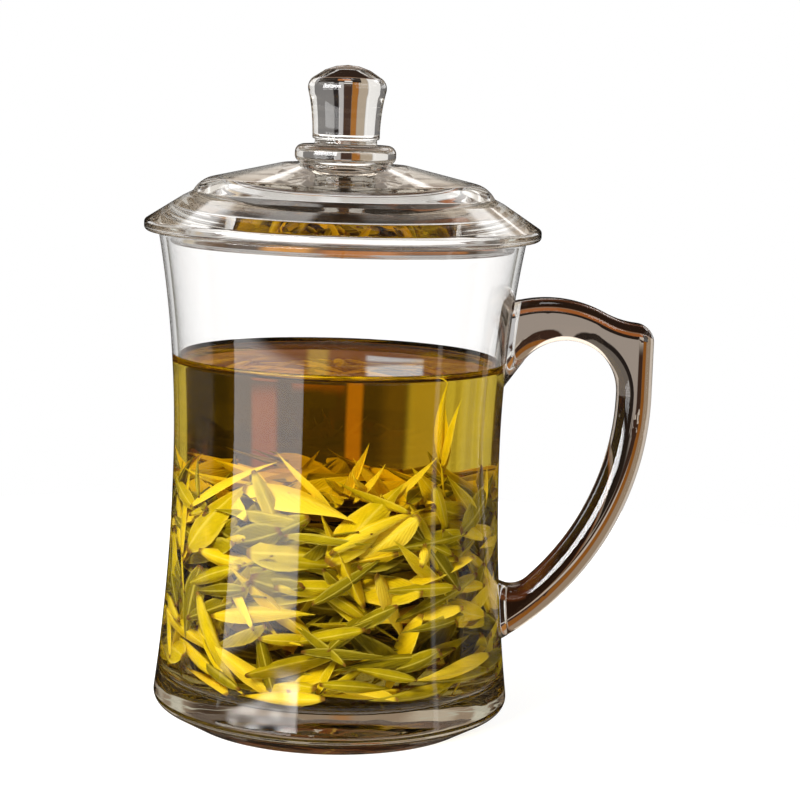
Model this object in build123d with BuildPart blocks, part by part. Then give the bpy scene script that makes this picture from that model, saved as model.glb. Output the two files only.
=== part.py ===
"""Glass tea cup with a loose domed lid and a tinted ear handle, in millimetres.

The origin is the middle of the foot plane, +Z is up and the handle points along +X.
"""

import os
from math import asin, copysign, cos, degrees, dist, radians, sqrt

from build123d import *

os.makedirs("parts", exist_ok=True)

# Cup body, radii and heights of its outside unless said otherwise
cup_height = 116.5
rim_radius = 43.3
waist_radius = 38.8
waist_height = 66.0
base_radius = 42.75
base_height = 5.0
base_round = 3.0
foot_radius = 33.8
foot_round = 2.0
wall = 1.6
floor_height = 10.0
floor_corner = 6.0
rim_round = 0.5
punt_radius = 26.0
punt_depth = 1.5

# Ear handle, drawn in the XZ plane from the rim down and from the foot up
handle_depth = 10.5
handle_round = 3.4
handle_reach = 74.4
handle_drop = 16.1
crown_share = 0.55
crown_rise = 2.6
thumb_length = 11.6
thumb_dip_drop = 3.2
thumb_tip_drop = 2.2
thumb_tip_round = 4.2
grip_width = 8.0
arm_width = 9.8
finger_arch_sweep = 144.0
flare_reach = 6.4
flare_drop = 9.2
tail_height = 18.5
tail_flare_height = 35.0
tail_flare_rise = 2.6

# Clear glass welds between the handle and the cup
weld_thickness = 1.5
weld_wedge_drop = 2.6

# Lid, which rests on the cup's rim
lid_clearance = 0.7
lid_overhang = 3.4
lid_edge = 2.5
lid_edge_round = 1.1
lid_wall = 2.8
lid_rise = 16.6
land_margin = 2.7
dome_drop = 4.4
dome_round = 6.5
shoulder_width = 1.9
shoulder_drop = 2.8
ledge_width = 2.2
ledge_drop = 1.1
flare_width = 9.0
skirt_depth = 2.5
skirt_wall = 2.4
skirt_round = 0.8
brim_rise = 3.1
brim_run = 3.6
brim_climb = 1.8
hollow_run = 4.5
hollow_climb = 1.8
step_run = 1.0
hollow_round = 1.0

# Knob, which stands on the lid's flat land
collar_radius = 11.9
collar_height = 4.5
collar_round = 2.0
neck_radius = 7.3
neck_height = 1.3
neck_step = 0.6
knob_flare = 1.7
knob_height = 13.2
knob_crown = 4.0
knob_low_round = 0.4
knob_top_round = 4.0


def wall_radius(end_radius, end_height, height):
    """Outside radius of the wall's arc, which leaves the waist upright and ends at a given ring."""
    reach = end_radius - waist_radius
    rise = end_height - waist_height
    bow = (reach**2 + rise**2) / (2 * reach)
    return waist_radius + bow - copysign(sqrt(bow**2 - (height - waist_height) ** 2), bow)


# Cup body: a waisted wall on a thick clear base
waist = (waist_radius, waist_height)

with BuildPart() as cup_blank:
    with BuildSketch(Plane.XZ) as cup_section:
        with BuildLine():
            TangentArc(waist, (rim_radius, cup_height), tangent=(0, 1))
            lower_wall = TangentArc(waist, (base_radius, base_height), tangent=(0, -1))
            Polyline(lower_wall @ 1, (foot_radius, 0), (0, 0), (0, cup_height), (rim_radius, cup_height))
        make_face()
        fillet(cup_section.vertices().sort_by_distance((base_radius, base_height))[0], base_round)
        fillet(cup_section.vertices().sort_by_distance((foot_radius, 0))[0], foot_round)
    revolve(axis=Axis.Z)

inner_waist = (waist_radius - wall, waist_height)

with BuildPart() as cup_body:
    add(cup_blank.part)
    with BuildSketch(Plane.XZ) as hollow:
        with BuildLine():
            mouth = TangentArc(inner_waist, (rim_radius - wall, cup_height), tangent=(0, 1))
            belly = TangentArc(inner_waist, (base_radius - wall, base_height), tangent=(0, -1))
            Polyline(belly @ 1, (0, base_height), (0, cup_height), mouth @ 1)
        make_face()
        with Locations((0, base_height)):
            Rectangle(
                base_radius, floor_height - base_height, align=(Align.MIN, Align.MIN), mode=Mode.SUBTRACT
            )
        fillet(hollow.vertices().group_by(Axis.Y)[0].sort_by(Axis.X)[-1], floor_corner)
    revolve(axis=Axis.Z, mode=Mode.SUBTRACT)
    with BuildSketch(Plane.XZ):
        with BuildLine():
            TangentArc((0, punt_depth), (punt_radius, 0), tangent=(1, 0))
            Polyline((punt_radius, 0), (0, 0), (0, punt_depth))
        make_face()
    revolve(axis=Axis.Z, mode=Mode.SUBTRACT)
    fillet(cup_body.edges().filter_by(GeomType.CIRCLE).group_by(Axis.Z)[-1], rim_round)

cup_body.part.label = "cup_body"
export_step(cup_body.part, "parts/cup_body.step")

# Ear handle: one rounded loop from weld to weld, drawn from inside the wall and trimmed by the cup
root_reach = waist_radius - wall
grip_inner_reach = handle_reach - grip_width
thumb_dip_reach = handle_reach - thumb_length
crown_reach = root_reach + crown_share * (thumb_dip_reach - root_reach)
root_top = cup_height - handle_drop
crown_height = root_top + crown_rise
thumb_dip_height = crown_height - thumb_dip_drop
thumb_tip_height = thumb_dip_height - thumb_tip_drop
finger_gap = grip_inner_reach - root_reach - flare_reach
finger_arch_radius = finger_gap / (1 - cos(radians(finger_arch_sweep)))
shoulder_height = crown_height - arm_width - finger_arch_radius
tail_end_height = tail_flare_height + tail_flare_rise
arch_centre = (grip_inner_reach - finger_arch_radius, shoulder_height)
thumb_wall = dist(arch_centre, (thumb_dip_reach, thumb_dip_height)) - finger_arch_radius
thinnest_wall = min(grip_width, arm_width, handle_depth, thumb_wall)
widest_round = min(0.45 * thinnest_wall, 0.9 * thumb_tip_round)

with BuildPart() as ear:
    with BuildSketch(Plane.XZ) as ear_outline:
        with BuildLine():
            arch = ThreePointArc(
                (root_reach, root_top), (crown_reach, crown_height), (thumb_dip_reach, thumb_dip_height)
            )
            dip = TangentArc(arch @ 1, (handle_reach, thumb_tip_height), tangent=arch % 1)
            back = Line(dip @ 1, (handle_reach, shoulder_height))
            tail = TangentArc(back @ 1, (root_reach, tail_height), tangent=back % 1)
            Line(tail @ 1, (root_reach, tail_end_height))
            grip_radius = tail.radius - grip_width
            grip_sweep = degrees(asin((shoulder_height - tail_flare_height) / grip_radius))
            grip = CenterArc(tail.arc_center, grip_radius, 0, -grip_sweep)
            TangentArc(grip @ 1, (root_reach, tail_end_height), tangent=grip % 1)
            finger_arch = CenterArc(arch_centre, finger_arch_radius, 0, finger_arch_sweep)
            flare_start = finger_arch @ 1
            flare_end = Vector(root_reach, flare_start.Y - flare_drop)
            TangentArc(flare_start, flare_end, tangent=finger_arch % 1)
            Line(flare_end, arch @ 0)
        make_face()
        thumb_tip = ear_outline.vertices().sort_by_distance((handle_reach, thumb_tip_height))[0]
        fillet(thumb_tip, thumb_tip_round)
    extrude(amount=handle_depth / 2, both=True)
    outline = ear.faces().filter_by(Axis.Y).edges()
    loop_edges = outline.filter_by(lambda edge: edge.center().X > root_reach + wall)
    fillet(loop_edges, min(handle_round, widest_round))
    add(cup_blank.part, mode=Mode.SUBTRACT)

# Clear zone of the ear: a skin around the cup, and a wedge below the upper arm
with BuildPart() as clear_zone:
    with BuildSketch(Plane.XZ):
        with BuildLine():
            skin_waist = (waist_radius + weld_thickness, waist_height)
            skin_top = TangentArc(skin_waist, (rim_radius + weld_thickness, cup_height), tangent=(0, 1))
            skin_foot = TangentArc(skin_waist, (base_radius + weld_thickness, base_height), tangent=(0, -1))
            Polyline(skin_foot @ 1, (0, base_height), (0, cup_height), skin_top @ 1)
        make_face()
    revolve(axis=Axis.Z)
    with BuildSketch(Plane.XZ):
        with BuildLine():
            Polyline(
                flare_start,
                (root_reach, flare_start.Y - weld_wedge_drop),
                flare_end,
                (flare_start.X, flare_end.Y),
                close=True,
            )
        make_face()
    extrude(amount=handle_depth, both=True)

with BuildPart() as handle:
    add(ear.part)
    add(clear_zone.part, mode=Mode.SUBTRACT)

handle.part.label = "handle"
export_step(handle.part, "parts/handle.step")

with BuildPart() as welds:
    add(ear.part)
    add(clear_zone.part, mode=Mode.INTERSECT)

with BuildPart() as lower_weld:
    add(welds.solids().sort_by(Axis.Z)[0])

lower_weld.part.label = "lower_weld"
export_step(lower_weld.part, "parts/lower_weld.step")

with BuildPart() as upper_weld:
    add(welds.solids().sort_by(Axis.Z)[-1])

upper_weld.part.label = "upper_weld"
export_step(upper_weld.part, "parts/upper_weld.step")

# Lid: a domed shell with a wide flange on the rim and a short skirt inside the mouth
lid_top = cup_height + lid_rise
lid_radius = rim_radius + lid_overhang
land_radius = collar_radius + land_margin
ledge_end_radius = lid_radius - flare_width
ledge_radius = ledge_end_radius - ledge_width
dome_radius = ledge_radius - shoulder_width
dome_edge_height = lid_top - dome_drop
ledge_height = dome_edge_height - shoulder_drop
skirt_foot = cup_height - skirt_depth
mouth_radius = min(rim_radius, wall_radius(rim_radius, cup_height, skirt_foot)) - wall
skirt_radius = mouth_radius - lid_clearance
skirt_inner = skirt_radius - skirt_wall
# The underside climbs from the skirt in two cones and steps up into the dome
brim_start = (skirt_inner, cup_height + brim_rise)
brim_end = (skirt_inner - brim_run, brim_start[1] + brim_climb)
step_foot = (brim_end[0] - hollow_run, brim_end[1] + hollow_climb)
dome_inside = (step_foot[0] - step_run, dome_edge_height - lid_wall)

with BuildPart() as lid:
    with BuildSketch(Plane.XZ) as lid_section:
        with BuildLine():
            Polyline(
                (0, lid_top),
                (land_radius, lid_top),
                (dome_radius, dome_edge_height),
                (ledge_radius, ledge_height),
                (ledge_end_radius, ledge_height - ledge_drop),
                (lid_radius, cup_height + lid_edge),
                (lid_radius, cup_height),
                (skirt_radius, cup_height),
                (skirt_radius, skirt_foot),
                (skirt_inner, skirt_foot),
                brim_start,
                brim_end,
                step_foot,
                dome_inside,
                (0, lid_top - lid_wall),
                close=True,
            )
        make_face()
        fillet(lid_section.vertices().sort_by_distance((dome_radius, dome_edge_height))[0], dome_round)
        fillet(lid_section.vertices().sort_by_distance(dome_inside)[0], hollow_round)
        fillet(lid_section.vertices().group_by(Axis.X)[-1], min(lid_edge_round, 0.45 * lid_edge))
        fillet(lid_section.vertices().group_by(Axis.Y)[0], skirt_round)
    revolve(axis=Axis.Z)

lid.part.label = "lid"
export_step(lid.part, "parts/lid.step")

# Knob: a solid flared stem on a round collar
knob_low_radius = neck_radius + neck_step
knob_top_radius = knob_low_radius + knob_flare
collar_top = lid_top + collar_height
knob_foot = collar_top + neck_height
knob_shoulder = knob_foot + knob_height

with BuildPart() as lid_knob:
    with BuildSketch(Plane.XZ) as knob_section:
        with BuildLine():
            collar = Polyline(
                (0, lid_top),
                (collar_radius, lid_top),
                (collar_radius, collar_top),
                (neck_radius, collar_top),
                (neck_radius, knob_foot),
                (knob_low_radius, knob_foot),
            )
            stem = TangentArc(collar @ 1, (knob_top_radius, knob_shoulder), tangent=(0, 1))
            crown = TangentArc((0, knob_shoulder + knob_crown), stem @ 1, tangent=(1, 0))
            Line(crown @ 0, collar @ 0)
        make_face()
        fillet(knob_section.vertices().group_by(Axis.X)[-1], min(collar_round, 0.45 * collar_height))
        knob_heel = knob_section.vertices().sort_by_distance((knob_low_radius, knob_foot))[0]
        fillet(knob_heel, min(knob_low_round, 0.9 * neck_step))
        fillet(knob_section.vertices().sort_by_distance((knob_top_radius, knob_shoulder))[0], knob_top_round)
    revolve(axis=Axis.Z)

lid_knob.part.label = "lid_knob"
export_step(lid_knob.part, "parts/lid_knob.step")
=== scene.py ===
"""Looks of a lidded glass tea cup with green tea in it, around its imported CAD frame. Units are metres."""

import math
import random

import bmesh
import bpy
from mathutils import Euler, Matrix, Vector


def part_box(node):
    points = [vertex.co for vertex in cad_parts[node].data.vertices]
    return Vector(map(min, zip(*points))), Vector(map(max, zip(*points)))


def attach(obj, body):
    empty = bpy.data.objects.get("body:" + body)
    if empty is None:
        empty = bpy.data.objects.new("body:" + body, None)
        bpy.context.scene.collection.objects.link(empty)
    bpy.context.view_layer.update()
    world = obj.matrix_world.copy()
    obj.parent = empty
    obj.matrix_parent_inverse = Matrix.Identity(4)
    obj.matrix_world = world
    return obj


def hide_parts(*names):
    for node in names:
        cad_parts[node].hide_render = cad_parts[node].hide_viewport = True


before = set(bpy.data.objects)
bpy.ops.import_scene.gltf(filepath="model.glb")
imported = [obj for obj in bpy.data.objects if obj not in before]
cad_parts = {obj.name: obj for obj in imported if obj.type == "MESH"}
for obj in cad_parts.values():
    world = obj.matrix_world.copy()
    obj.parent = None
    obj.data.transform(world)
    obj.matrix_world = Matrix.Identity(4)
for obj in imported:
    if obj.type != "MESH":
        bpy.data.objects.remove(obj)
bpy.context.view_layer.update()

# Sizes read from the frame
cup_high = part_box("cup_body")[1]
lid_low, lid_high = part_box("lid")
knob_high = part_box("lid_knob")[1]
rim_height = cup_high.z
lost_to_rim_round = 0.0001
rim_radius = cup_high.x + lost_to_rim_round
lid_radius = lid_high.x
lid_top = lid_high.z
skirt_foot = lid_low.z
collar_radius = knob_high.x
knob_top = knob_high.z

# Cup section, outside unless said otherwise
waist_radius = 0.0388
waist_height = 0.0660
base_radius = 0.04275
base_height = 0.0050
base_round = 0.0030
foot_radius = 0.0338
foot_round = 0.0020
glass_wall = 0.0016
floor_height = 0.0100
floor_corner = 0.0060
above_corner = floor_height + 1.4 * floor_corner
rim_round = 0.0005
punt_radius = 0.0260
punt_depth = 0.0015
rest_gap = 0.00004
wall_steps = 24
punt_steps = 12
flat_shares = (0.6, 0.3, 0.0)

# Lid and knob sections
lid_edge = 0.0025
lid_edge_round = 0.0011
lid_shell = 0.0028
land_radius = collar_radius + 0.0027
land_round = 0.0030
dome_drop = 0.0044
dome_round = 0.0065
shoulder_width = 0.0019
shoulder_drop = 0.0028
shoulder_round = 0.0006
ledge_width = 0.0022
ledge_drop = 0.0011
ledge_round = 0.0015
flare_width = 0.0090
skirt_wall = 0.0024
skirt_round = 0.0008
skirt_top_round = 0.0003
brim_rise = 0.0031
brim_run = 0.0036
brim_climb = 0.0018
brim_foot_round = 0.0004
brim_round = 0.0040
hollow_run = 0.0045
hollow_climb = 0.0018
step_run = 0.0010
step_round = 0.0004
hollow_round = 0.0010
lid_clearance = 0.0007
collar_height = 0.0045
collar_round = 0.0020
neck_radius = 0.0073
neck_height = 0.0013
neck_top_round = 0.0005
neck_low_round = 0.0003
knob_low_radius = 0.0079
knob_top_radius = 0.0096
knob_crown = 0.0040
knob_low_round = 0.0004
knob_top_round = 0.0029
stem_steps = 16
stem_start = 0.0005
stem_end = 0.0034
# Points of the crown: share of the radius and drop from the top
crown_points = [(0.55, 0.0012), (0.28, 0.0003)]

# Glass pieces that are melted together overlap this much
melt_depth = 0.00006
weld_crease = math.radians(40)

# Tea
tea_level = 0.0863
meniscus_rise = 0.0016
meniscus_width = 0.0024
meniscus_curve = 2.6
meniscus_steps = 14
tea_steps = 20
tea_top_steps = 10
tea_overlap = 0.00005

# Camera of the photograph
image_side = 800
focal_pixels = 2288.9
camera_place = (0.0, -0.540, 0.15244)
camera_yaw = math.radians(1.5576)
camera_pitch = math.radians(7.8946)
camera_roll = math.radians(1.9024)
sensor_width = 36.0
near_clip = 0.01

# Sides of a turned piece, and steps of a rounded corner
turns_around = 256
knob_turns = 128
corner_steps = 10
knob_corner_steps = 12
# Points this far beyond a rounded corner keep the shading of the flat beside it
corner_guard = 0.00025
on_axis = 1e-7
same_point = 1e-6


class Signal:
    """An output socket of a node tree. Sums with numbers and other signals add Math nodes."""

    def __init__(self, board, socket):
        self.board = board
        self.socket = socket

    def also(self, name):
        """Another output of the same node."""
        return Signal(self.board, self.socket.node.outputs[name])

    def __add__(self, other):
        return self.board.maths("ADD", self, other)

    def __radd__(self, other):
        return self.board.maths("ADD", other, self)

    def __sub__(self, other):
        return self.board.maths("SUBTRACT", self, other)

    def __rsub__(self, other):
        return self.board.maths("SUBTRACT", other, self)

    def __mul__(self, other):
        return self.board.maths("MULTIPLY", self, other)

    def __gt__(self, other):
        return self.board.maths("GREATER_THAN", self, other)

    def __lt__(self, other):
        return self.board.maths("LESS_THAN", self, other)


class Board:
    """A node tree of a material or of the world."""

    def __init__(self, tree):
        self.tree = tree
        tree.nodes.clear()

    def node(self, kind, settings=None, sockets=None, output=0):
        """Adds a node: first its settings, then its sockets' values or links. Returns one of its outputs."""
        made = self.tree.nodes.new(kind)
        for name, value in (settings or {}).items():
            if name == "stops":
                ramp = made.color_ramp.elements
                while len(ramp) < len(value):
                    ramp.new(1.0)
                for element, (place, colour) in zip(ramp, value):
                    element.position = place
                    element.color = (*colour, 1.0)
            else:
                setattr(made, name, value)
        for name, value in (sockets or {}).items():
            if isinstance(value, Signal):
                self.tree.links.new(value.socket, made.inputs[name])
            else:
                made.inputs[name].default_value = value
        return Signal(self, made.outputs[output]) if made.outputs else None

    def maths(self, operation, *values):
        return self.node("ShaderNodeMath", {"operation": operation}, dict(enumerate(values)))

    def smooth(self, value, low, high):
        """0 below low, 1 above high, and a smooth step between."""
        settings = {"interpolation_type": "SMOOTHSTEP"}
        return self.node("ShaderNodeMapRange", settings, {"Value": value, 1: low, 2: high}, "Result")

    def blend(self, share, first, second):
        """A colour between two colours."""
        return self.node("ShaderNodeMix", {"data_type": "RGBA"}, {0: share, 6: first, 7: second}, 2)

    def noise(self, place, scale, detail):
        sockets = {"Vector": place, "Scale": scale, "Detail": detail}
        return self.node("ShaderNodeTexNoise", None, sockets)

    def bump(self, height, distance, strength=1.0):
        sockets = {"Height": height, "Distance": distance, "Strength": strength}
        return self.node("ShaderNodeBump", None, sockets, "Normal")

    def either(self, share, first, second):
        """The first shader at a share of 0 and the second at 1."""
        return self.node("ShaderNodeMixShader", None, {0: share, 1: first, 2: second})

    def clear(self, roughness, bending, normal):
        """A clear body that bends light."""
        sockets = {
            "Base Color": rgb(1, 1, 1),
            "Roughness": roughness,
            "IOR": bending,
            "Transmission Weight": 1.0,
            "Normal": normal,
        }
        return self.node("ShaderNodeBsdfPrincipled", None, sockets)

    def ray(self, name):
        return self.node("ShaderNodeLightPath", output=name)

    def finish(self, surface, volume=None, kind="ShaderNodeOutputMaterial"):
        sockets = {"Surface": surface}
        if volume:
            sockets["Volume"] = volume
        self.node(kind, None, sockets)


def new_material(name):
    material = bpy.data.materials.new(name)
    material.use_nodes = True
    return material, Board(material.node_tree)


def rgb(red, green, blue):
    return (red, green, blue, 1.0)


# Materials


def clear_to_lamps(board, shader, tint):
    """The shader, except that light on its way to or from a dull surface passes straight through it."""
    straight = board.node("ShaderNodeBsdfTransparent", None, {"Color": tint})
    passing = board.maths("MAXIMUM", board.ray("Is Shadow Ray"), board.ray("Is Diffuse Ray"))
    return board.either(passing, shader, straight)


def absorption(board, kept, depth):
    """A volume that lets the given share of each colour through over the given depth."""
    losses = [-math.log(share) / depth for share in kept]
    density = max(losses)
    colour = [1 - loss / density for loss in losses]
    return board.node("ShaderNodeVolumeAbsorption", None, {"Color": rgb(*colour), "Density": density})


def glass_material(name, kept, depth, wave_height, wave_scale, ring_height=0.0, foot_waves=0.0):
    """Glass that keeps the given colour over the given depth, with the slight waves of hand-finished glass.

    Rings are waves that run round the upright axis, as turned glass has them. Foot waves are near the
    ground only.
    """
    material, board = new_material(name)
    place = board.node("ShaderNodeTexCoord", output="Object")
    waves = board.noise(place, wave_scale, 1.0)
    if ring_height:
        along = board.node("ShaderNodeSeparateXYZ", None, {"Vector": place})
        radius = board.maths("SQRT", along * along + along.also("Y") * along.also("Y"))
        ring_place = radius * ring_scale + waves * ring_wander
        rings = board.node(
            "ShaderNodeTexNoise", {"noise_dimensions": "1D"}, {"W": ring_place, "Scale": 1.0, "Detail": 1.0}
        )
        flange = board.smooth(radius, *ring_growth) * (1 - ring_least) + ring_least
        waves = waves + rings * flange * (ring_height / wave_height)
    if foot_waves:
        height = board.node("ShaderNodeSeparateXYZ", None, {"Vector": place}, "Z")
        low = 1 - board.smooth(height, *foot_wave_end)
        ripples = board.noise(place, foot_wave_scale, 1.0)
        waves = waves + ripples * low * (foot_waves / wave_height)
    smudges = board.noise(place, smudge_scale, 4.0)
    bump = board.bump(waves, wave_height)
    glass = board.clear(board.smooth(smudges, *smudge_edge) * smudge_roughness, glass_bending, bump)
    lamps_through = clear_to_lamps(board, glass, rgb(*lamplight_kept))
    board.finish(lamps_through, absorption(board, kept, depth))
    return material


def tea_material():
    """Clear green tea with a slight swell on its surface."""
    material, board = new_material("tea")
    place = board.node("ShaderNodeTexCoord", output="Object")
    swell = board.noise(place, swell_scale, 0.0)
    bump = board.bump(swell, swell_height)
    liquid = board.clear(0.0, tea_bending, bump)
    volume = absorption(board, tea_kept, tea_depth)
    board.finish(clear_to_lamps(board, liquid, rgb(1, 1, 1)), volume)
    return material


def leaf_material():
    """Steeped leaf: yellow to olive from leaf to leaf, darker for leaves deeper in the bed as painted shade,
    paler ribs and edges, fine veins, brown stalk ends.
    """
    material, board = new_material("steeped_leaf")

    def attribute(name):
        return board.node("ShaderNodeAttribute", {"attribute_name": name}, None, "Fac")

    along = attribute("along")
    across = attribute("across")
    # Each leaf's tint is its own colour, darkened as painted shade the deeper the leaf lies in the bed
    tint = attribute("tint")
    place = board.node("ShaderNodeTexCoord", output="Object")
    mottle = board.noise(place, mottle_scale, 3.0)
    off_rib = board.maths("ABSOLUTE", across)
    mottle_swing = mottle - 0.5
    shade = tint * tint_spread - tint_drop + mottle_swing * mottle_share - along * tip_drop
    colour = board.node("ShaderNodeValToRGB", {"stops": leaf_colours}, {"Fac": shade})
    rib = 1 - board.smooth(off_rib, *rib_edge)
    margin = board.smooth(off_rib, *margin_edge)
    colour = board.blend(rib * rib_share + margin * margin_share, colour, rgb(*leaf_pale))
    stalk = 1 - board.smooth(along + mottle_swing * stalk_wander, *stalk_edge)
    colour = board.blend(stalk * stalk_share, colour, rgb(*leaf_brown))
    veins = board.maths("SINE", off_rib * veins_across - along * veins_along)
    bump = board.bump(veins * vein_share + mottle, vein_height, vein_strength)
    skin = board.node(
        "ShaderNodeBsdfPrincipled",
        None,
        {
            "Base Color": colour,
            "Roughness": leaf_roughness + mottle * leaf_roughness_swing,
            "IOR": leaf_bending,
            "Normal": bump,
        },
    )
    glow = board.node("ShaderNodeBsdfTranslucent", None, {"Color": colour, "Normal": bump})
    board.finish(board.either(leaf_glow, skin, glow))
    return material


# Bending is the index of refraction; pairs are where a smooth step starts and ends
glass_bending = 1.5
lamplight_kept = (0.97, 0.97, 0.96)
ring_scale = 420.0
ring_wander = 0.8
ring_growth = (0.012, 0.034)
ring_least = 0.2
foot_wave_scale = 110.0
foot_wave_end = (0.006, 0.030)
smudge_scale = 90.0
smudge_edge = (0.62, 0.80)
smudge_roughness = 0.03
tea_bending = 1.33
tea_kept = (0.80, 0.68, 0.19)
tea_depth = 0.030
swell_scale = 60.0
swell_height = 0.00004
leaf_bending = 1.2
leaf_glow = 0.35
leaf_roughness = 0.35
leaf_roughness_swing = 0.3
mottle_scale = 260.0
mottle_share = 0.5
tint_spread = 1.4
tint_drop = 0.20
tip_drop = 0.12
rib_edge = (0.02, 0.16)
rib_share = 0.45
margin_edge = (0.72, 0.98)
margin_share = 0.35
stalk_edge = (0.02, 0.07)
stalk_wander = 0.06
stalk_share = 0.85
veins_across = 26.0
veins_along = 60.0
vein_share = 0.4
vein_height = 0.00012
vein_strength = 0.6
leaf_colours = [
    (0.0, (0.26, 0.20, 0.004)),
    (0.30, (0.55, 0.42, 0.006)),
    (0.65, (0.88, 0.65, 0.012)),
    (1.0, (0.97, 0.75, 0.050)),
]
leaf_pale = (0.97, 0.80, 0.14)
leaf_brown = (0.20, 0.065, 0.012)


# Meshes


def arc_points(start, end, upright_at, steps):
    """Points of the arc that is upright at one end, from start to end, without the last point."""
    fixed, other = (start, end) if upright_at == "start" else (end, start)
    reach = other[0] - fixed[0]
    rise = other[1] - fixed[1]
    bow = (reach**2 + rise**2) / (2 * reach)
    points = []
    for step in range(steps):
        height = start[1] + (end[1] - start[1]) * step / steps
        across = bow - math.copysign(math.sqrt(bow**2 - (height - fixed[1]) ** 2), bow)
        points.append((fixed[0] + across, height))
    return points


def rounded(corners, steps=corner_steps):
    """A polyline through (radius, height, round) corners, with arcs of that round in place of the corner."""
    line = []
    for place, (across, height, rounding) in enumerate(corners):
        here = Vector((across, height))
        if not rounding:
            line.append(here)
            continue
        before = (Vector(corners[place - 1][:2]) - here).normalized()
        after = (Vector(corners[place + 1][:2]) - here).normalized()
        opening = before.angle(after) / 2
        reach = rounding / math.tan(opening)
        centre = here + (before + after).normalized() * (rounding / math.sin(opening))
        first = here + before * reach
        last = here + after * reach
        sweep = (first - centre).angle_signed(last - centre)
        line.append(first + before * corner_guard)
        for step in range(steps + 1):
            turn = Matrix.Rotation(-sweep * step / steps, 2)
            line.append(centre + turn @ (first - centre))
        line.append(last + after * corner_guard)
    return line


def lathe(name, profile, material, steps=turns_around):
    """A closed turned piece. The profile runs from the axis to the axis."""
    shape = bmesh.new()
    rings = []
    for across, height in profile:
        if across < on_axis:
            rings.append([shape.verts.new((0, 0, height))])
            continue
        angles = [math.tau * step / steps for step in range(steps)]
        rings.append([shape.verts.new((across * math.cos(a), across * math.sin(a), height)) for a in angles])
    for lower, upper in zip(rings, rings[1:]):
        for step in range(steps):
            following = (step + 1) % steps
            corners = [lower[step % len(lower)], lower[following % len(lower)]]
            corners += [upper[following % len(upper)], upper[step % len(upper)]]
            shape.faces.new(list(dict.fromkeys(corners)))
    bmesh.ops.recalc_face_normals(shape, faces=shape.faces)
    return finished(name, shape, material)


def smooth_mesh(name, shape, sharp_angle):
    """Turns a bmesh into a smooth mesh with creases from an angle on."""
    mesh = bpy.data.meshes.new(name)
    for edge in shape.edges:
        edge.smooth = edge.calc_face_angle(0.0) < sharp_angle
    for face in shape.faces:
        face.smooth = True
    shape.to_mesh(mesh)
    shape.free()
    return mesh


def placed(name, data):
    """A new object in the scene."""
    made = bpy.data.objects.new(name, data)
    bpy.context.scene.collection.objects.link(made)
    return made


def finished(name, shape, material, sharp_angle=math.pi):
    """Turns a bmesh into a smooth object with one material."""
    mesh = smooth_mesh(name, shape, sharp_angle)
    mesh.materials.append(material)
    return placed(name, mesh)


def inner_wall(height):
    """Inside radius of the cup at a height."""
    end_radius, end_height = (rim_radius, rim_height) if height > waist_height else (base_radius, base_height)
    reach = end_radius - waist_radius
    bow = (reach**2 + (end_height - waist_height) ** 2) / (2 * reach)
    return waist_radius - glass_wall + bow - math.sqrt(bow**2 - (height - waist_height) ** 2)


def flat_middle(height):
    """Corners across a flat inside the cup, to its middle."""
    return [(share * waist_radius, height, 0) for share in flat_shares]


def cup_glass(material):
    """The cup: foot, bevel, waisted wall, rim and rounded inside floor."""
    rim_top = rim_height - rest_gap
    waist = (waist_radius, waist_height)
    inner_waist = (waist_radius - glass_wall, waist_height)
    near_base = base_height + 2 * base_round
    near_rim = rim_top - 4 * rim_round
    lower = arc_points((inner_wall(near_base) + glass_wall, near_base), waist, "end", wall_steps)
    upper = arc_points(waist, (inner_wall(near_rim) + glass_wall, near_rim), "start", wall_steps)
    inner_upper = arc_points((inner_wall(near_rim), near_rim), inner_waist, "end", wall_steps)
    inner_lower = arc_points(inner_waist, (inner_wall(above_corner), above_corner), "start", wall_steps)
    punt = [
        (punt_radius * step / punt_steps, punt_depth * (1 - (step / punt_steps) ** 2), 0)
        for step in range(punt_steps + 1)
    ]
    outside = [(foot_radius, 0, foot_round), (base_radius, base_height, base_round)]
    walls = [(*point, 0) for point in lower + upper]
    rim = [
        (inner_wall(near_rim) + glass_wall, near_rim, 0),
        (rim_radius, rim_top, rim_round),
        (rim_radius - glass_wall, rim_top, rim_round),
    ]
    inside = [(*point, 0) for point in inner_upper + inner_lower]
    floor = [
        (inner_wall(above_corner), above_corner, 0),
        (inner_wall(floor_height), floor_height, floor_corner),
        *flat_middle(floor_height),
    ]
    piece = lathe("tea_cup", rounded(punt + outside + walls + rim + inside + floor), material)
    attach(piece, "cup")
    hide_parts("cup_body")


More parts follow.
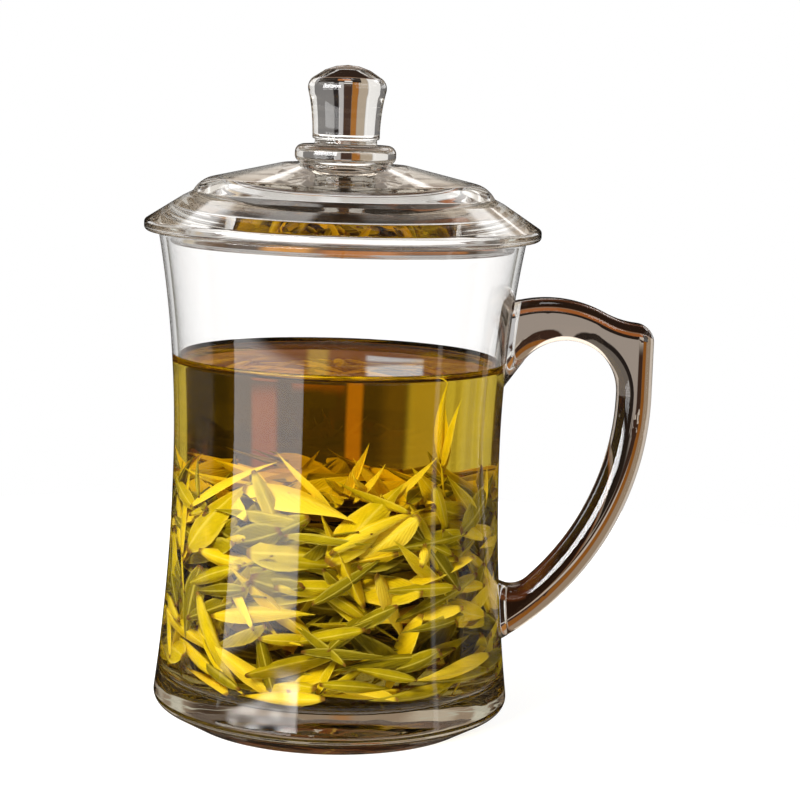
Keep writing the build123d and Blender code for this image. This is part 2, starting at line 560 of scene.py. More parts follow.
def lid_glass(material):
    """The lid: domed shell, shoulder, ledge, wide flange and a skirt inside the mouth."""
    ledge_end = lid_radius - flare_width
    ledge_start = ledge_end - ledge_width
    dome_radius = ledge_start - shoulder_width
    dome_edge = lid_top - dome_drop
    ledge_height = dome_edge - shoulder_drop
    skirt_radius = inner_wall(skirt_foot) - lid_clearance
    skirt_inner = skirt_radius - skirt_wall
    brim_start = rim_height + brim_rise
    brim_end = (skirt_inner - brim_run, brim_start + brim_climb)
    step_foot = (brim_end[0] - hollow_run, brim_end[1] + hollow_climb)
    dome_inside = (step_foot[0] - step_run, dome_edge - lid_shell)
    section = [
        (0, lid_top, 0),
        (0.5 * land_radius, lid_top, 0),
        (land_radius, lid_top, land_round),
        (dome_radius, dome_edge, dome_round),
        (ledge_start, ledge_height, shoulder_round),
        (ledge_end, ledge_height - ledge_drop, ledge_round),
        (lid_radius, rim_height + lid_edge, lid_edge_round),
        (lid_radius, rim_height, lid_edge_round),
        (skirt_radius, rim_height, skirt_top_round),
        (skirt_radius, skirt_foot, skirt_round),
        (skirt_inner, skirt_foot, skirt_round),
        (skirt_inner, brim_start, brim_foot_round),
        (*brim_end, brim_round),
        (*step_foot, step_round),
        (*dome_inside, hollow_round),
        (0.5 * dome_inside[0], lid_top - lid_shell - 0.5 * dome_drop, 0),
        (0, lid_top - lid_shell, 0),
    ]
    piece = lathe("domed_lid", rounded(section), material)
    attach(piece, "lid")
    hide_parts("lid")


def knob_glass(material):
    """The knob: a round collar, a short neck and a flared stem with a low crown."""
    collar_top = lid_top + collar_height
    knob_foot = collar_top + neck_height
    shoulder = knob_top - knob_crown
    stem_foot = (knob_low_radius, knob_foot + stem_start)
    stem = arc_points(stem_foot, (knob_top_radius, shoulder), "start", stem_steps)
    stem = [point for point in stem if point[1] < shoulder - stem_end]
    section = [
        (0, lid_top - melt_depth, 0),
        (collar_radius, lid_top - melt_depth, collar_round),
        (collar_radius, collar_top, collar_round),
        (neck_radius, collar_top, neck_top_round),
        (neck_radius, knob_foot, neck_low_round),
        (knob_low_radius, knob_foot, knob_low_round),
        *[(*point, 0) for point in stem],
        (knob_top_radius, shoulder, knob_top_round),
        *[(share * knob_top_radius, knob_top - drop, 0) for share, drop in crown_points],
        (0, knob_top, 0),
    ]
    piece = lathe("lid_grip", rounded(section, knob_corner_steps), material, knob_turns)
    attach(piece, "lid")
    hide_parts("lid_knob")


def weld_glass(node, material):
    """A weld bead: the CAD bead grown a hair into the cup and the handle, as melted glass is."""
    shape = bmesh.new()
    shape.from_mesh(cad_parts[node].data)
    bmesh.ops.remove_doubles(shape, verts=shape.verts, dist=same_point)
    shape.normal_update()
    for vertex in shape.verts:
        vertex.co += vertex.normal * melt_depth
    piece = finished(node + "_glass", shape, material, weld_crease)
    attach(piece, "cup")
    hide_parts(node)


def tea_body(material):
    """The tea: it fills the cup to its level and climbs the wall in a meniscus."""
    foot = floor_height - tea_overlap
    top = tea_level + meniscus_rise
    inner_waist = (waist_radius - glass_wall + tea_overlap, waist_height)

    def wet(height):
        return inner_wall(height) + tea_overlap

    side = arc_points((wet(above_corner), above_corner), inner_waist, "end", tea_steps)
    side += arc_points(inner_waist, (wet(top), top), "start", tea_top_steps)
    section = [(0, foot, 0), (0.5 * waist_radius, foot, 0), (wet(floor_height), foot, floor_corner)]
    section += [(*point, 0) for point in side]
    for step in range(meniscus_steps + 1):
        inward = meniscus_width * step / meniscus_steps
        climb = meniscus_rise * (1 - step / meniscus_steps) ** meniscus_curve
        section.append((wet(top) - inward, tea_level + climb, 0))
    piece = lathe("tea", rounded(section + flat_middle(tea_level)), material)
    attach(piece, "cup")


# Tea leaves


def leaf_blade(shape, marks, form, root):
    """Adds one closed leaf, a unit long, that leaves its stalk at the root along +X and bends up."""
    along_mark, across_mark = marks
    across_top = (-1.0, -0.5, 0.0, 0.5, 1.0)
    across_under = (0.5, 0.0, -0.5)
    centre = Vector()
    rings = []
    for station in range(leaf_stations):
        share = station / leaf_stations
        heading = form["bend"] * (share - leaf_level)
        if station:
            centre = centre + Vector((math.cos(heading), 0, math.sin(heading))) / leaf_stations
        frame_here = Matrix.Rotation(-heading, 3, "Y") @ Matrix.Rotation(form["twist"] * share, 3, "X")
        swell = math.sin(math.pi * (leaf_foot + (1 - leaf_foot) * share) ** leaf_belly) ** leaf_point
        half = max(0.5 * form["width"] * swell, least_half_width)
        thick = max(form["plump"] * half, least_thickness)
        ring = []
        for side, places in ((1, across_top), (-1, across_under)):
            for across in places:
                lift = half * abs(across) * math.sin(form["fold"])
                bulge = side * thick * math.sqrt(1 - across**2)
                spot = Vector((0, half * across * math.cos(form["fold"]), lift + bulge))
                vertex = shape.verts.new(root @ (centre + frame_here @ spot))
                vertex[along_mark] = share
                vertex[across_mark] = across
                ring.append(vertex)
        rings.append(ring)
    heading = form["bend"] * (1 - leaf_level)
    reach = Vector((math.cos(heading), 0, math.sin(heading))) / leaf_stations
    tip = shape.verts.new(root @ (centre + reach))
    tip[along_mark] = 1.0
    count = len(rings[0])
    for lower, upper in zip(rings, rings[1:]):
        for step in range(count):
            after = (step + 1) % count
            shape.faces.new((lower[step], lower[after], upper[after], upper[step]))
    for step in range(count):
        shape.faces.new((rings[-1][step], rings[-1][(step + 1) % count], tip))
    shape.faces.new(reversed(rings[0]))


def leaf_kind(name, blades):
    """A leaf or a sprig, as an object to be repeated."""
    shape = bmesh.new()
    marks = shape.verts.layers.float.new("along"), shape.verts.layers.float.new("across")
    for form, root in blades:
        leaf_blade(shape, marks, form, root)
    bmesh.ops.recalc_face_normals(shape, faces=shape.faces)
    return bpy.data.objects.new(name, smooth_mesh(name, shape, leaf_crease))


def blade(width, fold, bend, twist, plump):
    """The form of a blade: shares of its length, and angles in degrees."""
    return {
        "width": width,
        "fold": math.radians(fold),
        "bend": math.radians(bend),
        "twist": math.radians(twist),
        "plump": plump,
    }


def on_stalk(start, yaw, pitch, size):
    """Where a blade of a sprig leaves the stalk, and how large it is."""
    turn = Euler((0, math.radians(-pitch), math.radians(yaw))).to_matrix().to_4x4()
    return Matrix.Translation((start, 0, 0)) @ turn @ Matrix.Scale(size, 4)


def leaf_kinds():
    """The leaf shapes of the bed, in the order that the bed counts them."""
    slim = blade(0.20, 34, 28, 12, 0.22)
    broad = blade(0.35, 18, 36, -16, 0.09)
    folded = blade(0.32, 60, 22, 8, 0.16)
    bud = blade(0.16, 0, 26, 0, 0.80)
    curled = blade(0.27, 36, 72, 36, 0.12)
    needle = blade(0.15, 30, 22, 0, 0.28)
    stalk = blade(0.05, 0, 10, 0, 0.9)
    here = Matrix.Identity(4)
    sprig = [
        (stalk, on_stalk(0.0, 0, 0, 0.45)),
        (bud, on_stalk(0.30, 2, 4, 0.70)),
        (slim, on_stalk(0.26, 26, 10, 0.66)),
        (folded, on_stalk(0.22, -28, 8, 0.60)),
    ]
    single = [[(form, here)] for form in (slim, broad, folded, bud, curled)]
    kinds = [*single, sprig, [(needle, here)]]
    return [leaf_kind(f"leaf_kind_{place}", blades) for place, blades in enumerate(kinds)]


def room_for_leaves(height):
    """Radius that leaves may reach at a height, inside the wall and the rounded floor corner."""
    straight = floor_height + floor_corner
    if height >= straight:
        return inner_wall(height) - leaf_gap
    drop = min(straight - height, floor_corner)
    return inner_wall(straight) - floor_corner + math.sqrt(floor_corner**2 - drop**2) - leaf_gap


class Bed:
    """Places of all leaves: points, turns, sizes, kinds and tints, the tints darkened as painted shade for
    leaves deeper in the bed.
    """

    def __init__(self, kinds):
        self.outlines = [[vertex.co.copy() for vertex in kind.data.vertices] for kind in kinds]
        self.rows = []

    def add(self, kind, place, turn, size, tint):
        """Keeps a leaf, pushed in from the wall, up from the floor and below the tea's surface."""
        place = Vector(place)
        spin = turn.to_matrix()
        for _ in range(push_tries):
            corners = [place + spin @ (corner * size) for corner in self.outlines[kind]]
            over = max(corner.xy.length - room_for_leaves(corner.z) for corner in corners)
            under = floor_height + leaf_gap - min(corner.z for corner in corners)
            above = max(corner.z for corner in corners) - (tea_level - leaf_gap)
            if over <= 0 and under <= 0 and above <= 0:
                break
            if over > 0:
                middle = sum(corners, Vector()) / len(corners)
                place.xy -= middle.xy.normalized() * (over + push_spare)
            place.z += max(under, 0) - max(above, 0)
        else:
            return
        self.rows.append((place, turn.to_euler(), size, kind, tint))

    def lay(self, kind, centre, turn, size, tint):
        """Keeps a leaf whose middle is at a place."""
        middle = turn.to_matrix() @ Vector((0.5 * size, 0, 0))
        self.add(kind, Vector(centre) - middle, turn, size, tint)

    def aim(self, kind, foot, tip, roll, tint):
        """Keeps a leaf that runs from its foot to its tip."""
        run = Vector(tip) - Vector(foot)
        chord = self.outlines[kind][-1].length
        turn = run.to_track_quat("X", "Z") @ Euler((math.radians(roll), 0, 0)).to_quaternion()
        self.add(kind, foot, turn, run.length / chord, tint)


def ring_spot(across, angle, height):
    return (across * math.cos(angle), across * math.sin(angle), height)


def wall_leaf(bed, source, near, far, lit):
    """Lays a leaf along the wall, somewhere between two distances from it."""
    kind = source.choices(range(len(leaf_shares)), leaf_shares)[0]
    size = source.uniform(*leaf_length) * (sprig_growth if kind == sprig_kind else 1.0)
    angle = source.uniform(0, math.tau)
    height = source.uniform(floor_height + wall_leaf_rise, bed_top)
    across = room_for_leaves(height) - source.uniform(near, far)
    slope = max(-steepest, min(steepest, source.gauss(*wall_leaf_slope)))
    flat = source.gauss(*wall_leaf_flat)
    dip = source.gauss(*wall_leaf_dip)
    if source.random() < 0.5:
        slope += 180
    wall_frame = Matrix.Rotation(angle, 3, "Z") @ Matrix(((0, 0, -1), (1, 0, 0), (0, -1, 0)))
    turn = (
        wall_frame
        @ Matrix.Rotation(math.radians(slope), 3, "Z")
        @ Matrix.Rotation(math.radians(dip), 3, "Y")
        @ Matrix.Rotation(math.radians(flat), 3, "X")
    ).to_quaternion()
    # lit darkens the tint of leaves in deeper layers: painted shade
    tint = lit * source.betavariate(*wall_leaf_tints)
    bed.lay(kind, ring_spot(across, angle, height), turn, size, tint)


def loose_leaf(bed, source, reach, foot, heights, tilt, tints, lit):
    """Lays a leaf in any direction, in the middle of the bed or on top of it."""
    kind = source.choices(range(len(leaf_shares)), leaf_shares)[0]
    angle = source.uniform(0, math.tau)
    across = reach * math.sqrt(source.random())
    height = foot + source.uniform(*heights)
    turn = Euler((source.uniform(0, math.tau), source.gauss(*tilt), source.uniform(0, math.tau)))
    size = source.uniform(*leaf_length)
    # lit darkens the tint of the core leaves: painted shade
    tint = lit * source.betavariate(*tints)
    bed.lay(kind, ring_spot(across, angle, height), turn.to_quaternion(), size, tint)


def fill_bed(bed):
    """Leaves against the wall in layers, a loose core, a tangled top and a few single leaves."""
    source = random.Random(leaf_seed)
    for count, *layer in leaf_layers:
        for _ in range(count):
            wall_leaf(bed, source, *layer)
    for count, *heap in leaf_heaps:
        for _ in range(count):
            loose_leaf(bed, source, *heap)
    for leaf in single_leaves:
        bed.aim(*leaf)


def scatter_tree():
    """Geometry nodes that put a leaf of the right kind, turn and size on every point of a bed."""
    tree = bpy.data.node_groups.new("leaf_scatter", "GeometryNodeTree")
    taken = {"Points": "Geometry", "Leaves": "Collection", "Finish": "Material"}
    for name, kind in taken.items():
        tree.interface.new_socket(name, in_out="INPUT", socket_type="NodeSocket" + kind)
    tree.interface.new_socket("Leaves", in_out="OUTPUT", socket_type="NodeSocketGeometry")
    inputs = tree.nodes.new("NodeGroupInput")
    output = tree.nodes.new("NodeGroupOutput")

    def named(name, kind):
        node = tree.nodes.new("GeometryNodeInputNamedAttribute")
        node.data_type = kind
        node.inputs["Name"].default_value = name
        return node.outputs["Attribute"]

    link = tree.links.new
    kinds = tree.nodes.new("GeometryNodeCollectionInfo")
    kinds.inputs["Separate Children"].default_value = True
    kinds.inputs["Reset Children"].default_value = True
    link(inputs.outputs["Leaves"], kinds.inputs["Collection"])
    turn = tree.nodes.new("FunctionNodeEulerToRotation")
    link(named("turn", "FLOAT_VECTOR"), turn.inputs["Euler"])
    copies = tree.nodes.new("GeometryNodeInstanceOnPoints")
    copies.inputs["Pick Instance"].default_value = True
    link(inputs.outputs["Points"], copies.inputs["Points"])
    link(kinds.outputs["Instances"], copies.inputs["Instance"])
    link(named("kind", "INT"), copies.inputs["Instance Index"])
    link(turn.outputs["Rotation"], copies.inputs["Rotation"])
    link(named("size", "FLOAT"), copies.inputs["Scale"])
    real = tree.nodes.new("GeometryNodeRealizeInstances")
    link(copies.outputs["Instances"], real.inputs["Geometry"])
    finish = tree.nodes.new("GeometryNodeSetMaterial")
    link(real.outputs["Geometry"], finish.inputs["Geometry"])
    link(inputs.outputs["Finish"], finish.inputs["Material"])
    link(finish.outputs["Geometry"], output.inputs["Leaves"])
    return tree


def tea_leaves(material):
    """The bed of steeped leaves on the cup's floor."""
    kinds = leaf_kinds()
    store = bpy.data.collections.new("leaf_kinds")
    for kind in kinds:
        store.objects.link(kind)
    bed = Bed(kinds)
    fill_bed(bed)
    points = bpy.data.meshes.new("leaf_points")
    points.from_pydata([row[0] for row in bed.rows], [], [])
    columns = (("turn", "FLOAT_VECTOR"), ("size", "FLOAT"), ("kind", "INT"), ("tint", "FLOAT"))
    for column, (name, data_type) in enumerate(columns, 1):
        attribute = points.attributes.new(name, data_type, "POINT")
        field = "vector" if data_type == "FLOAT_VECTOR" else "value"
        for item, row in zip(attribute.data, bed.rows):
            setattr(item, field, row[column])
    holder = placed("leaf_points", points)
    tree = scatter_tree()
    scatter = holder.modifiers.new("scatter", "NODES")
    scatter.node_group = tree
    values = {"Leaves": store, "Finish": material}
    for socket in tree.interface.items_tree:
        if socket.in_out == "INPUT" and socket.name in values:
            scatter[socket.identifier] = values[socket.name]
    graph = bpy.context.evaluated_depsgraph_get()
    mesh = bpy.data.meshes.new_from_object(holder.evaluated_get(graph))
    mesh.name = "tea_leaves"
    bpy.data.objects.remove(holder)
    for kind in kinds:
        bpy.data.objects.remove(kind)
    bpy.data.collections.remove(store)
    piece = placed("tea_leaves", mesh)
    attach(piece, "cup")


leaf_seed = 11
leaf_gap = 0.0004
leaf_length = (0.016, 0.028)
bed_top = 0.057
# Outline of a blade: how blunt its foot, how far out its widest place and how sharp its tip
leaf_foot = 0.04
leaf_belly = 0.72
leaf_point = 1.2
# Share of its length at which a bent blade lies level
leaf_level = 0.35
leaf_stations = 7
least_half_width = 0.016
least_thickness = 0.008
leaf_crease = math.radians(75)
# How often a leaf is pushed back from the wall before it is left out, and by how much more than needed
push_tries = 6
push_spare = 0.0001
# Shares of the first six kinds of leaf
leaf_shares = (30, 18, 22, 14, 10, 6)
sprig_kind = 5
sprig_growth = 1.25
# Leaves near the wall: mean and spread of their angles in degrees, and shape of their tints
wall_leaf_rise = 0.002
wall_leaf_slope = (0, 34)
wall_leaf_flat = (0, 28)
wall_leaf_dip = (-6, 10)
wall_leaf_tints = (2.2, 2.0)
steepest = 80.0
# Layers of them: how many, nearest and furthest from the wall, and how light; the last is a painted shade
# that darkens the tints of layers deeper from the wall
leaf_layers = [(190, 0.0006, 0.0030, 1.05), (190, 0.0030, 0.0070, 0.7), (130, 0.0070, 0.0130, 0.3)]
# The core and the top: how many, reach, foot, heights over it, mean and spread of their tilt in radians,
# shape of their tints, and how light: a painted shade that darkens the tints of the core
leaf_heaps = [
    (90, 0.026, 0.0, (floor_height + 0.004, bed_top), (0, 0.5), (2.0, 2.4), 0.2),
    (70, 0.034, bed_top, (-0.003, 0.003), (-0.15, 0.28), (2.6, 1.8), 1.0),
]
# Single leaves that stand out of the bed: kind, foot, tip, roll in degrees and tint
single_leaves = [
    (6, (-0.0320, -0.0160, 0.0535), (-0.0133, -0.0260, 0.0684), 200, 0.85),
    (6, (-0.0005, -0.0285, 0.0560), (-0.0135, -0.0258, 0.0684), 60, 0.92),
    (2, (0.0022, -0.0240, 0.0574), (0.0073, -0.0240, 0.0714), 60, 0.92),
    (0, (0.0038, -0.0260, 0.0575), (0.0112, -0.0270, 0.0667), 50, 0.85),
    (6, (0.0111, -0.0270, 0.0577), (0.0220, -0.0240, 0.0682), 60, 0.90),
    (5, (0.0233, -0.0200, 0.0580), (0.0204, -0.0200, 0.0800), 20, 0.60),
    (0, (0.0325, -0.0120, 0.0540), (0.0335, -0.0120, 0.0656), 80, 0.88),
    (1, (0.0310, -0.0160, 0.0530), (0.0232, -0.0220, 0.0628), 40, 0.35),
    (3, (-0.0297, -0.0180, 0.0560), (-0.0308, -0.0170, 0.0659), 0, 0.30),
]


# Stage


def ray_story(board):
    """How a ray came: surfaces crossed, 1 if it was mirrored, and 1 if it only crossed two thin walls."""
    crossed = board.ray("Transmission Depth")
    mirrored = board.maths("MINIMUM", board.ray("Glossy Depth"), 1.0)
    two_walls = board.maths("COMPARE", crossed, wall_pair_surfaces, 0.5) * (1 - mirrored)
    return crossed, mirrored, two_walls


def studio_world():
    """White to the camera and straight through two thin walls; thick glass, tea and gloss see a brown room.

    The room repeats every quarter turn, so that the cup looks alike from all sides; its lamps don't.
    Patches of the room are given as west, east, low, high and soft edge in degrees, and colour.
    """
    world = bpy.data.worlds.new("studio")
    bpy.context.scene.world = world
    world.use_nodes = True
    board = Board(world.node_tree)
    way = board.node("ShaderNodeTexCoord", output="Generated")
    right = board.node("ShaderNodeSeparateXYZ", None, {"Vector": way})
    bearing = board.maths("ARCTAN2", right, right.also("Y")) * math.degrees(1)
    quarter = board.maths("WRAP", bearing, eighth_turn, -eighth_turn)
    height = board.maths("ARCSINE", right.also("Z")) * math.degrees(1)

    def inside(across, west, east, low, high, edge):
        """1 inside a patch of the room."""
        sides = board.smooth(across, west - edge, west + edge)
        sides = sides * (1 - board.smooth(across, east - edge, east + edge))
        ends = board.smooth(height, low - edge, low + edge)
        return sides * ends * (1 - board.smooth(height, high - edge, high + edge))

    def light(colour, strength=1.0):
        return board.node("ShaderNodeBackground", None, {"Color": colour, "Strength": strength})

    def painted(base, patches):
        colour = rgb(*base)
        for *patch, paint in patches:
            colour = board.blend(inside(quarter, *patch), colour, rgb(*paint))
        return light(colour)

    either = board.either
    crossed, mirrored, two_walls = ray_story(board)
    well_above = board.smooth(height, *above_start)
    ahead = 1 - board.smooth(board.maths("ABSOLUTE", bearing), *ahead_end)
    shine = sum(inside(bearing, *box) * strength for *box, strength in studio_lamps)
    dim = painted(*gloss_room)
    gloss = board.node("ShaderNodeAddShader", None, {0: dim, 1: light(rgb(1, 1, 1), shine)})
    wall_edge = either(ahead, dim, painted(*edge_room))
    solid_mirror = either(well_above, wall_edge, painted(*base_room))
    solid = either(mirrored, painted(*solid_room), solid_mirror)
    shell_mirror = either(ahead, dim, painted(*tea_top_room))
    shell = either(mirrored, painted(*shell_room), shell_mirror)
    filled = painted(*tea_room)
    room = either(crossed > outside_only, gloss, solid)
    room = either(crossed > one_solid, room, shell)
    room = either(crossed > wall_pair, room, filled)
    tumbled_edge = either(ahead, light(rgb(*silver)), painted(*lid_edge_room))
    tumbled = either(crossed > one_piece, tumbled_edge, painted(*many_mirrors_room))
    room = either(board.ray("Glossy Depth") > few_mirrors, room, tumbled)
    level = board.smooth(height, *level_start) * (1 - well_above)
    white = board.maths("MAXIMUM", board.ray("Is Camera Ray"), two_walls * level)
    seen = either(board.ray("Is Glossy Ray"), light(rgb(*fill_colour), fill_strength), room)
    backdrop = light(rgb(1, 1, 1), 1.0 + two_walls * lost_in_walls)
    board.finish(either(white, seen, backdrop), kind="ShaderNodeOutputWorld")


fill_colour = (1.0, 0.985, 0.96)
fill_strength = 0.28
lost_in_walls = 0.25
# Surfaces that a ray crosses in two walls, and the limits between the ways that it came
wall_pair_surfaces = 4.0
outside_only = 1.5
one_piece = 2.5
one_solid = 3.5
wall_pair = 4.5
few_mirrors = 2.5
# Degrees over which a ray comes to be well above, no longer ahead, and level
above_start = (6.0, 9.0)
ahead_end = (78.0, 84.0)
level_start = (-9.8, -9.0)
# A strip light and two soft boxes: west, east, low, high, soft edge and strength
studio_lamps = [
    (106.5, 110.0, -30.0, 40.0, 1.0, 1.2),
    (-156.0, -104.0, -16.5, -5.5, 0.6, 4.0),
    (-160.0, -104.0, -2.5, 26.0, 1.5, 18.0),
]
eighth_turn = 45.0
all_round = (-90.0, 90.0)
any_height = (-120.0, 120.0)
nearly_black = (0.03, 0.025, 0.02)
silver = (0.92, 0.93, 0.92)


def both_sides(inner, outer, *patch):
    """A patch to the west and the same to the east."""
    return [(-outer, -inner, *patch), (inner, outer, *patch)]


# Seen mirrored on the outside of the glass
gloss_room = (
    (0.012, 0.010, 0.009),
    [
        (*all_round, 14.0, 48.0, 3.0, (0.75, 0.65, 0.56)),
        (*all_round, 21.5, 23.5, 0.8, (3.0, 2.9, 2.8)),
        (-26.0, -10.0, 14.0, 48.0, 2.0, (0.05, 0.04, 0.03)),
        (9.0, 18.0, 14.0, 48.0, 2.0, (0.05, 0.04, 0.03)),
        (*all_round, 48.0, 120.0, 2.0, (0.06, 0.05, 0.045)),
        (-90.0, -24.0, 32.0, 44.0, 2.0, (3.2, 3.2, 3.2)),
        (22.0, 90.0, 28.0, 38.0, 2.0, (3.2, 3.2, 3.2)),
        (*all_round, 80.0, 120.0, 2.0, (3.0, 3.0, 3.0)),
        *both_sides(25.0, 90.0, 3.0, 14.0, 2.0, (2.2, 2.2, 2.2)),
    ],
)
# Seen by rays that were mirrored three times or more
many_mirrors_room = (nearly_black, both_sides(14.0, 90.0, *any_height, 1.0, (0.64, 0.64, 0.63)))
# Seen by such rays in the edge of the lid
lid_edge_room = (
    silver,
    [
        (-18.0, 18.0, -120.0, -1.0, 2.0, nearly_black),
        (-18.0, 18.0, 26.0, 120.0, 2.0, nearly_black),
    ],
)
# Seen at the edges of the wall, mirrored inside it
edge_room = ((1.0, 1.0, 1.0), both_sides(30.0, 90.0, -9.5, 0.5, 1.0, (0.10, 0.08, 0.025)))
# Seen through solid glass: the knob and the handle
solid_room = (
    (0.24, 0.235, 0.235),
    [
        (-90.0, -22.0, *any_height, 1.5, (1.0, 1.0, 1.0)),
        (-22.0, -11.0, *any_height, 1.0, (0.50, 0.42, 0.33)),
        (-11.0, -4.5, *any_height, 0.7, (0.42, 0.17, 0.035)),
        (-4.5, 3.6, *any_height, 0.7, (0.07, 0.04, 0.03)),
        (3.6, 8.6, *any_height, 0.5, (0.56, 0.55, 0.56)),
        (8.6, 14.0, *any_height, 0.7, (0.03, 0.025, 0.025)),
        (12.0, 90.0, -120.0, -7.8, 0.4, (0.03, 0.022, 0.018)),
        (-14.0, 12.0, -120.0, -8.2, 0.4, (0.03, 0.022, 0.018)),
        (-3.0, 10.0, -20.0, -12.5, 0.7, (0.55, 0.20, 0.06)),
        (-4.6, 3.0, -13.0, -8.4, 0.4, (0.85, 0.84, 0.82)),
        (-4.6, 3.4, -6.3, -3.6, 0.3, (0.85, 0.84, 0.82)),
        (*all_round, 20.0, 120.0, 2.0, (2.3, 2.3, 2.3)),
    ],
)
# Seen through the thick base, mirrored in its floor
base_room = (
    (0.52, 0.44, 0.37),
    [
        (20.0, 36.0, *any_height, 6.0, (0.10, 0.07, 0.055)),
        (-4.0, -0.5, *any_height, 1.5, (0.62, 0.36, 0.18)),
        (-30.0, -16.0, *any_height, 3.0, (0.80, 0.76, 0.70)),
        (*all_round, 26.0, 48.0, 1.5, (0.025, 0.02, 0.015)),
        (-30.0, -12.0, 26.0, 48.0, 1.5, (0.34, 0.33, 0.32)),
        (10.5, 13.0, 26.0, 48.0, 0.5, (0.30, 0.11, 0.04)),
        (*all_round, 48.0, 120.0, 1.5, (0.05, 0.04, 0.03)),
        *both_sides(40.0, 50.0, 12.0, 22.0, 2.0, (0.95, 1.0, 0.96)),
        *both_sides(19.0, 90.0, 14.6, 15.7, 0.3, (0.80, 0.84, 0.80)),
    ],
)
# Seen through both sides of the lid
shell_room = (
    (0.008, 0.006, 0.004),
    [
        (-2.3, -1.0, 3.0, 40.0, 0.2, (0.50, 0.49, 0.48)),
        (0.65, 2.4, 3.0, 40.0, 0.2, (0.10, 0.095, 0.09)),
        (*all_round, -9.0, 10.0, 1.0, (0.30, 0.10, 0.035)),
        (*all_round, -120.0, -9.0, 0.5, (0.66, 0.64, 0.61)),
        (-1.6, -0.3, -120.0, -9.0, 0.3, (0.85, 0.84, 0.82)),
        (-90.0, -7.0, -120.0, -9.0, 1.0, (0.95, 0.94, 0.92)),
        (8.0, 90.0, -120.0, -9.0, 1.0, (0.95, 0.94, 0.92)),
        (*all_round, 22.0, 29.0, 1.0, (0.40, 0.34, 0.29)),
        (*all_round, 29.0, 120.0, 1.5, (0.90, 0.88, 0.86)),
    ],
)
# Seen mirrored in the tea's surface
tea_top_room = (
    (0.34, 0.12, 0.04),
    [
        (*all_round, -1.0, 6.6, 0.4, (0.14, 0.05, 0.02)),
        (*all_round, -120.0, -0.3, 0.4, (0.012, 0.010, 0.009)),
        (-90.0, -14.0, -28.0, -15.2, 0.4, silver),
        (13.0, 90.0, -28.0, -15.2, 0.4, silver),
        (-1.1, -0.4, 6.6, 20.0, 0.15, (0.80, 0.50, 0.12)),
        (0.95, 3.2, 6.9, 9.5, 0.12, (1.0, 1.0, 1.0)),
        (*all_round, 24.0, 52.0, 2.0, nearly_black),
        (-30.0, -12.0, 24.0, 52.0, 1.5, (0.34, 0.33, 0.32)),
        (12.0, 24.0, 24.0, 52.0, 1.5, (0.10, 0.095, 0.09)),
        (*all_round, 52.0, 120.0, 2.0, (0.70, 0.62, 0.55)),
    ],
)
# Seen through the tea
tea_room = (
    (0.95, 0.94, 0.92),
    [
        (-24.5, -22.5, *any_height, 0.5, (0.74, 0.70, 0.62)),
        (-31.0, -28.0, *any_height, 0.6, (0.80, 0.78, 0.72)),
        (-38.5, -36.0, *any_height, 0.5, (0.66, 0.62, 0.52)),
        (-19.0, -11.0, *any_height, 2.0, (0.72, 0.60, 0.42)),
        (-11.0, 42.0, *any_height, 1.0, (0.10, 0.07, 0.05)),
        (-11.0, -7.0, *any_height, 1.5, (0.22, 0.15, 0.10)),
        (20.0, 39.0, *any_height, 2.0, (0.03, 0.024, 0.02)),
        (28.5, 31.0, -120.0, -9.0, 0.6, (0.10, 0.045, 0.02)),
        (-1.0, 2.5, -5.5, 120.0, 0.6, (0.55, 0.20, 0.05)),
        (2.5, 7.0, -5.5, -4.3, 0.4, (0.55, 0.20, 0.05)),
        (-3.6, -1.3, -120.0, -3.4, 0.4, (0.80, 0.36, 0.08)),
        (9.7, 14.6, -120.0, -5.5, 0.6, (0.45, 0.15, 0.05)),
        (*all_round, -3.0, 120.0, 0.3, (0.62, 0.61, 0.60)),
        (-0.8, 1.2, -3.0, 120.0, 0.3, (0.60, 0.25, 0.08)),
    ],
)


def pale_floor():
    """A small pale floor, white to the camera where no shadow falls.

    Rays bent by thick glass see a wooden table there, and rays mirrored in a single piece pass it.
    """
    material, board = new_material("pale_floor")
    lit = board.node("ShaderNodeBsdfDiffuse", None, {"Color": rgb(*floor_pale)})
    glow = board.node("ShaderNodeEmission", None, {"Color": rgb(1, 1, 1), "Strength": floor_glow})
    faint = board.node("ShaderNodeBsdfDiffuse", None, {"Color": rgb(*floor_grey)})
    bright = board.node("ShaderNodeAddShader", None, {0: glow, 1: faint})
    place = board.node("ShaderNodeTexCoord", output="Object")
    grain = board.noise(place, grain_scale, 2.0)
    out = board.node("ShaderNodeVectorMath", {"operation": "LENGTH"}, {0: place}, "Value")
    outward = out * (1 / floor_radius) + (grain - 0.5) * grain_share
    wood = board.node("ShaderNodeValToRGB", {"stops": table_wood}, {"Fac": outward})
    table = board.node("ShaderNodeEmission", None, {"Color": wood, "Strength": 1.0})
    crossed, mirrored, two_walls = ray_story(board)
    white = board.maths("MAXIMUM", board.ray("Is Camera Ray"), two_walls)
    seen = board.either(board.ray("Is Glossy Ray"), lit, table)
    seen = board.either(white, seen, bright)
    gone = board.node("ShaderNodeBsdfTransparent")
    in_gloss = mirrored * (crossed < one_piece)
    board.finish(board.either(in_gloss, seen, gone))
    shape = bmesh.new()
    bmesh.ops.create_circle(shape, cap_ends=True, segments=floor_sides, radius=floor_radius)
    floor = finished("floor", shape, material)
    floor.location.z = -floor_drop


floor_radius = 0.30
floor_sides = 96
floor_drop = 0.0001
floor_pale = (0.80, 0.79, 0.77)
floor_glow = 0.72
floor_grey = (0.40, 0.40, 0.40)
grain_scale = 18.0
grain_share = 0.08
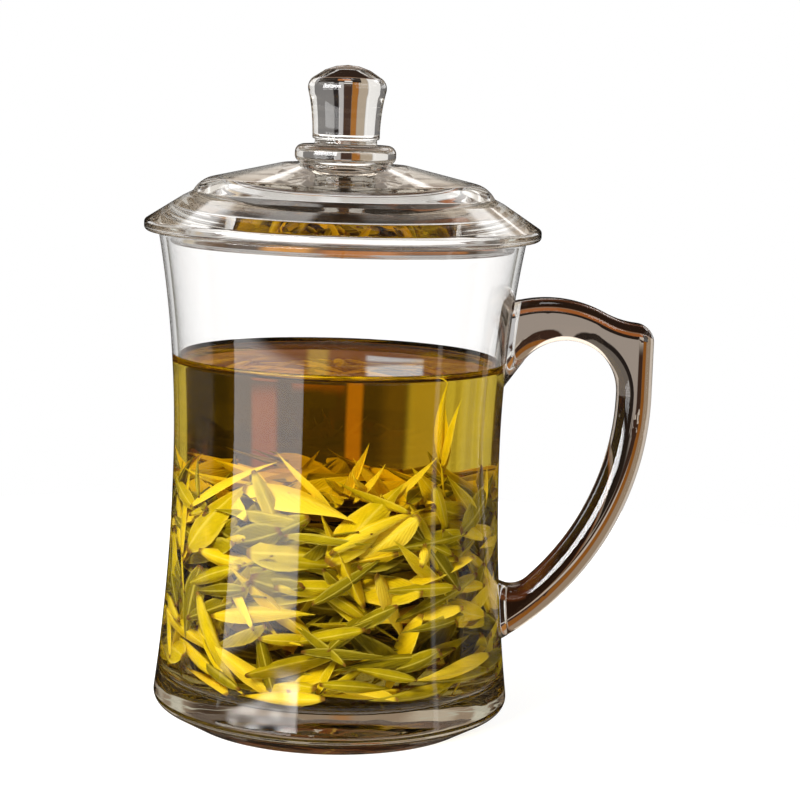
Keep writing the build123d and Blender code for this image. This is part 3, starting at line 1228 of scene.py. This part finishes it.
# The table's colours from under the cup outwards
table_wood = [
    (0.0, (0.10, 0.075, 0.015)),
    (0.20, (0.06, 0.02, 0.008)),
    (0.30, (0.16, 0.05, 0.015)),
    (0.42, (0.03, 0.015, 0.008)),
    (0.86, (0.03, 0.016, 0.010)),
    (0.90, (0.36, 0.14, 0.05)),
    (0.94, (0.34, 0.29, 0.24)),
    (1.0, (0.40, 0.35, 0.30)),
]


def lamp(name, place, size, power):
    """A round lamp that glass neither mirrors nor shows, aimed at the middle of the cup."""
    light = bpy.data.lights.new(name, "AREA")
    light.shape = "DISK"
    light.size = size
    light.energy = power
    holder = placed(name, light)
    holder.location = place
    holder.rotation_euler = (Vector(lamp_aim) - Vector(place)).to_track_quat("-Z", "Y").to_euler()
    holder.visible_glossy = False
    holder.visible_transmission = False


def photo_camera():
    """The photograph's camera: place, aim, roll and focal length."""
    ahead = Vector(
        (
            math.sin(camera_yaw) * math.cos(camera_pitch),
            math.cos(camera_yaw) * math.cos(camera_pitch),
            -math.sin(camera_pitch),
        )
    )
    level = Vector((math.cos(camera_yaw), -math.sin(camera_yaw), 0))
    above = level.cross(ahead)
    right = level * math.cos(camera_roll) + above * math.sin(camera_roll)
    up = above * math.cos(camera_roll) - level * math.sin(camera_roll)
    view = Matrix((right, up, -ahead)).transposed().to_4x4()
    view.translation = camera_place
    data = bpy.data.cameras.new("camera")
    data.sensor_width = sensor_width
    data.lens = focal_pixels / image_side * sensor_width
    data.clip_start = near_clip
    camera = placed("camera", data)
    camera.matrix_world = view
    bpy.context.scene.camera = camera


glass_bounces = 32
clear_bounces = 24
lamp_aim = (0, 0, 0.06)

photo_camera()
scene = bpy.context.scene
scene.view_settings.view_transform = "Standard"
scene.cycles.max_bounces = glass_bounces
scene.cycles.glossy_bounces = glass_bounces
scene.cycles.transmission_bounces = glass_bounces
scene.cycles.transparent_max_bounces = clear_bounces
studio_world()
pale_floor()
lamp("key_lamp", (-0.55, -0.75, 0.75), size=0.30, power=25.0)
lamp("back_lamp", (0.5, 0.7, 0.8), size=0.6, power=9.0)

# Finishes: colour kept over a depth, height and scale of the waves, then rings or foot waves
cup_clear = ((0.87, 0.84, 0.79), 0.020, 0.00003, 45.0)
lid_clear = ((0.90, 0.87, 0.83), 0.020, 0.00001, 45.0)
smoky_amber = ((0.60, 0.51, 0.42), 0.010, 0.00002, 60.0)
clear_glass = glass_material("clear_glass", *cup_clear)
footed_glass = glass_material("footed_glass", *cup_clear, foot_waves=0.00018)
ringed_glass = glass_material("ringed_glass", *lid_clear, ring_height=0.000005)
amber_glass = glass_material("amber_glass", *smoky_amber)

cup_glass(footed_glass)
lid_glass(ringed_glass)
knob_glass(clear_glass)
for bead in ("upper_weld", "lower_weld"):
    weld_glass(bead, clear_glass)
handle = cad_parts["handle"]
handle.data.materials.clear()
handle.data.materials.append(amber_glass)
tea_body(tea_material())
tea_leaves(leaf_material())
